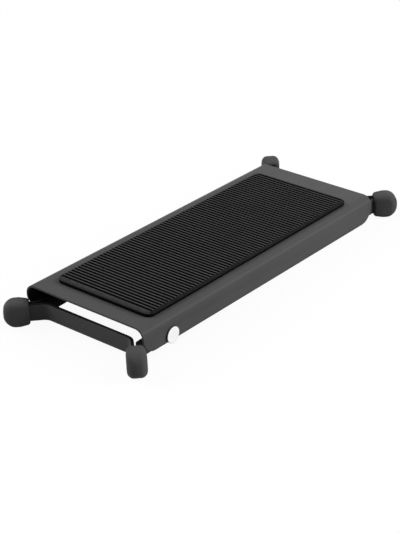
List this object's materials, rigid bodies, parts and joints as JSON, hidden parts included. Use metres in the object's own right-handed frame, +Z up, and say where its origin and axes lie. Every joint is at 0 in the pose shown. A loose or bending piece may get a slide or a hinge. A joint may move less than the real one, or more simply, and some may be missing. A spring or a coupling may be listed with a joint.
{
  "type": "guitar footrest",
  "caption": "Folding guitar footrest, lying flat: ribbed rubber tread on a black folded-sheet plate, crossed strap legs with rubber foot caps, and toothed racks that set the height.",
  "frame": {"origin": "middle of the folded footrest's box, on the surface that its foot caps stand on", "axes": "+X along the plate from the pivot rivets towards the end that lifts, +Y to the left across the plate, +Z up"},
  "size_m": [0.2906, 0.1208, 0.0305],
  "materials": {
    "painted_steel": "satin black powder coat, very fine grain",
    "tread_rubber": "matte ribbed black rubber",
    "foot_rubber": "satin moulded black rubber",
    "rivet_steel": "bright zinc, smooth",
    "zinc_plate": "plain zinc plating"
  },
  "bodies": {
    "outer_leg": {"outer_leg_strap": "painted_steel", "far_left_foot_cap": "foot_rubber", "far_right_foot_cap": "foot_rubber", "leg_rivet_left": "rivet_steel", "leg_rivet_right": "rivet_steel", "leg_washer_left": "zinc_plate", "leg_washer_right": "zinc_plate"},
    "plate": {"top_plate": "painted_steel", "tread_mat": "tread_rubber", "notch_rack_left": "zinc_plate", "notch_rack_right": "zinc_plate", "plate_rivet_left": "rivet_steel", "plate_rivet_right": "rivet_steel", "plate_washer_left": "zinc_plate", "plate_washer_right": "zinc_plate"},
    "inner_leg": {"inner_leg_strap": "painted_steel", "near_left_foot_cap": "foot_rubber", "near_right_foot_cap": "foot_rubber", "notch_bar": "zinc_plate", "backing_washer_left": "zinc_plate", "backing_washer_right": "zinc_plate"}
  },
  "joints": [
    {"name": "plate_lift", "type": "hinge", "parent": "outer_leg", "child": "plate", "pos_m": [-0.10174, 0, 0.01243], "axis": [0, -1, 0], "range_deg": [0, 38]},
    {"name": "inner_leg_swing", "type": "hinge", "parent": "outer_leg", "child": "inner_leg", "pos_m": [-0.00011, 0, 0.01107], "axis": [0, -1, 0], "range_deg": [0, 76]}
  ],
  "couplings": [
    {"joint": "inner_leg_swing", "follows": "plate_lift", "ratio": 2}
  ]
}
